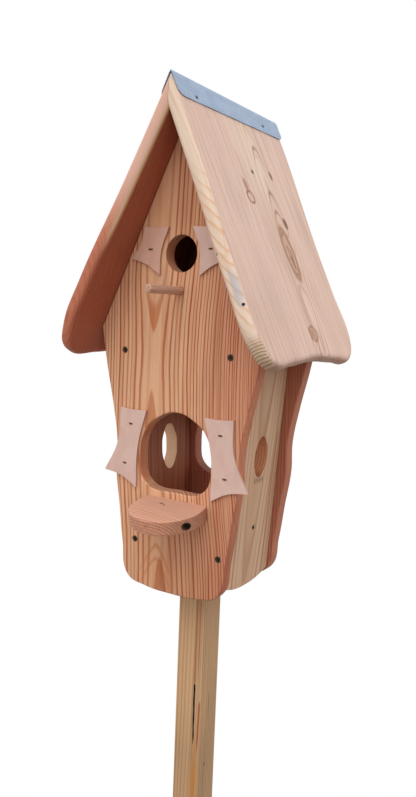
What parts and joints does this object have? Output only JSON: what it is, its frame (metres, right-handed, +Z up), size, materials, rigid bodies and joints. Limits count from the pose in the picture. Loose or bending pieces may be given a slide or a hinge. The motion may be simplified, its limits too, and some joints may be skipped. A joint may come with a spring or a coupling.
{
  "type": "bird feeder on pole",
  "caption": "Two-storey wooden bird house on a square pole: nest box above an open feeder, with wavy boards, a steep roof, sheet ridge cap, perch, landing board and plate shutters.",
  "frame": {"origin": "centre of the pole's foot, on its flat cut end", "axes": "+Z up along the pole; the house's front, with the entrance hole, faces -Y; +X is to the right of the pole seen from the back board looking out of the front"},
  "size_m": [0.2998, 0.2899, 1.4983],
  "materials": {
    "heartwood": "planed reddish softwood heartwood, matt",
    "sapwood": "planed pale softwood sapwood, matt",
    "pole_wood": "planed brown softwood, matt",
    "plate_wood": "thin pale pinkish beech plate, matt",
    "zinc": "weathered sheet zinc, satin",
    "brass": "staple wire, satin",
    "screw_steel": "dark passivated steel"
  },
  "bodies": {
    "root": {"back_board": "heartwood", "back_screw_lower_left": "screw_steel", "back_screw_lower_right": "screw_steel", "back_screw_upper_left": "screw_steel", "back_screw_upper_right": "screw_steel", "cap_nail_front_left": "screw_steel", "cap_nail_front_right": "screw_steel", "cap_nail_rear_left": "screw_steel", "cap_nail_rear_right": "screw_steel", "feeder_floor": "heartwood", "feeder_shutter_left": "plate_wood", "feeder_shutter_left_staple_1": "brass", "feeder_shutter_left_staple_2": "brass", "feeder_shutter_right": "plate_wood", "feeder_shutter_right_staple_1": "brass", "feeder_shutter_right_staple_2": "brass", "floor_nail_left": "screw_steel", "floor_nail_right": "screw_steel", "front_board": "heartwood", "front_screw_lower_left": "screw_steel", "front_screw_lower_right": "screw_steel", "front_screw_upper_left": "screw_steel", "front_screw_upper_right": "screw_steel", "landing_board": "heartwood", "landing_screw_left": "screw_steel", "landing_screw_right": "screw_steel", "nest_floor": "heartwood", "nest_floor_screw_left": "screw_steel", "nest_floor_screw_right": "screw_steel", "nest_shutter_left": "plate_wood", "nest_shutter_left_staple_1": "brass", "nest_shutter_right": "plate_wood", "nest_shutter_right_staple_1": "brass", "perch_dowel": "plate_wood", "pole": "pole_wood", "pole_cleat_left": "pole_wood", "pole_cleat_left_cross_screw": "screw_steel", "pole_cleat_left_floor_screw": "screw_steel", "pole_cleat_right": "pole_wood", "pole_cleat_right_cross_screw": "screw_steel", "pole_cleat_right_floor_screw": "screw_steel", "ridge_cap": "zinc", "roof_board_left": "heartwood", "roof_board_right": "heartwood", "side_board_left": "sapwood", "side_board_right": "sapwood"}
  },
  "joints": []
}
